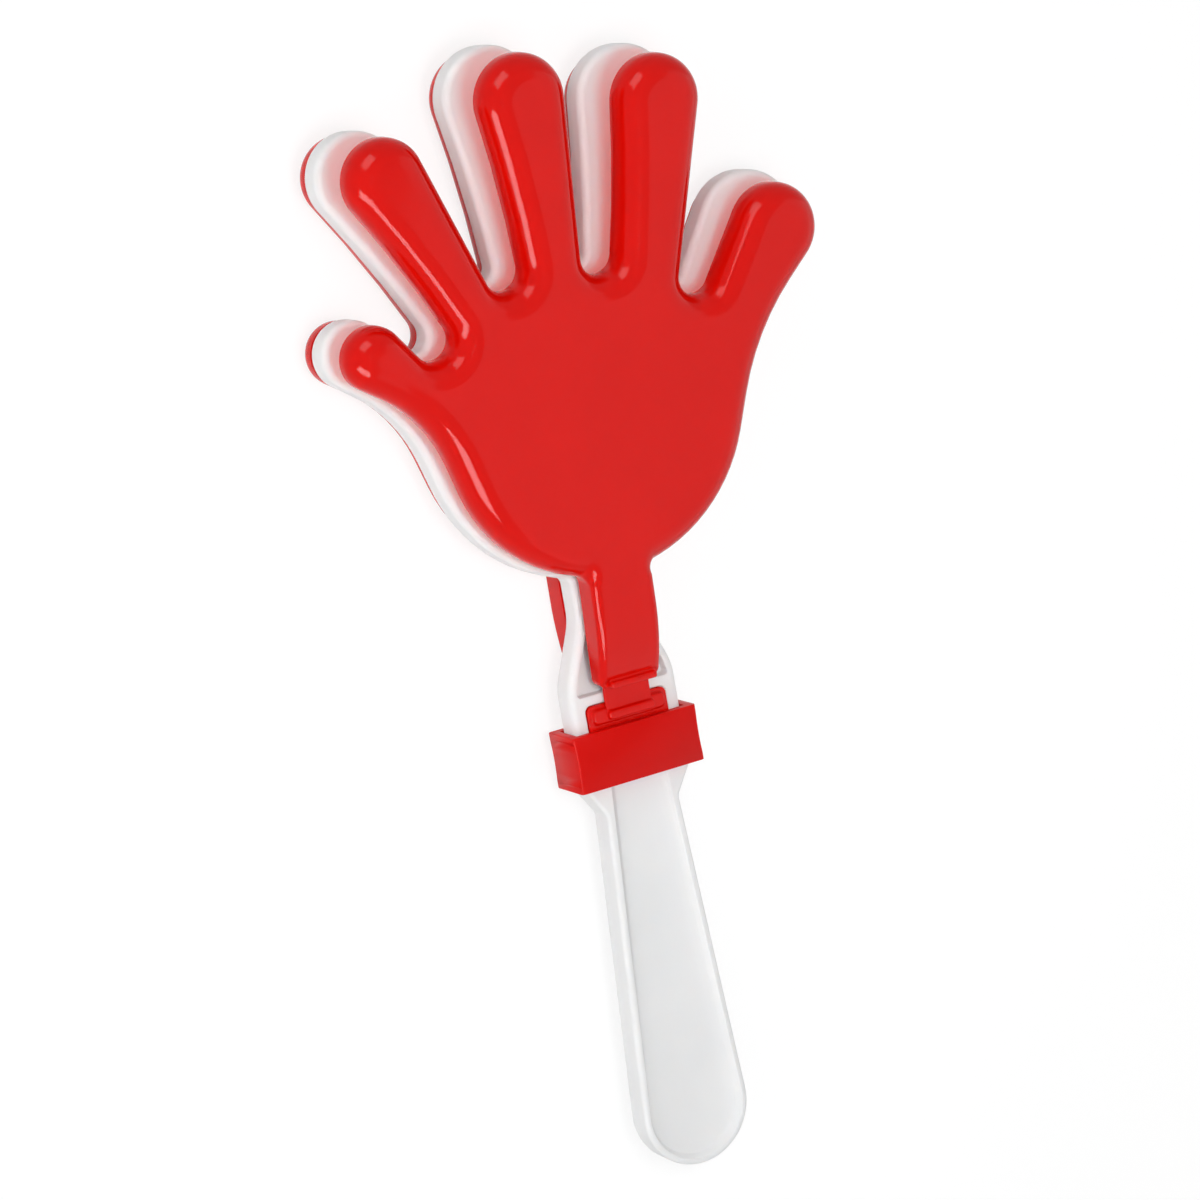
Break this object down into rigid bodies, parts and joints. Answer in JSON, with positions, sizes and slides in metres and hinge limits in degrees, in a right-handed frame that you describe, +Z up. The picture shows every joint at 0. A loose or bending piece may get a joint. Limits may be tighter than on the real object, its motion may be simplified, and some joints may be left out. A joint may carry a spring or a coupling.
{
  "type": "hand clapper",
  "caption": "Party noise-maker: a flat centre hand on a handle, with hollow hands hinged to both faces by moulded straps that clap against it, and a collar that traps the hinge tabs",
  "frame": {"origin": "middle of the rear palm's outer face, on the surface the clapper lies on", "axes": "X across the hand from thumb to little finger, Y along the clapper from handle to fingers, Z up from the rear hand to the front hand"},
  "size_m": [0.1301, 0.2796, 0.036],
  "materials": {
    "white_plastic": "white polypropylene, satin as moulded",
    "red_plastic": "red polypropylene, glossy as moulded",
    "collar_plastic": "red polypropylene, slightly duller than the hands"
  },
  "bodies": {
    "handle_body": {"centre_hand": "white_plastic", "collar": "collar_plastic", "front_hinge_tab": "red_plastic", "rear_hinge_tab": "red_plastic", "front_hinge_strap": "red_plastic", "rear_hinge_strap": "red_plastic"},
    "front_hand_body": {"front_hand": "red_plastic"},
    "rear_hand_body": {"rear_hand": "red_plastic"}
  },
  "joints": [
    {"name": "front_hinge", "type": "hinge", "parent": "handle_body", "child": "front_hand_body", "pos_m": [-0.0015, -0.0693, 0.0172], "axis": [1, 0, 0], "range_deg": [-4.5, 85.5], "stiffness_Nm_per_rad": 0.15, "springref_deg": 5.41, "deforming": ["front_hinge_strap"]},
    {"name": "rear_hinge", "type": "hinge", "parent": "handle_body", "child": "rear_hand_body", "pos_m": [-0.0015, -0.0693, 0.007], "axis": [-1, 0, 0], "range_deg": [0, 90], "stiffness_Nm_per_rad": 0.15, "deforming": ["rear_hinge_strap"]}
  ]
}
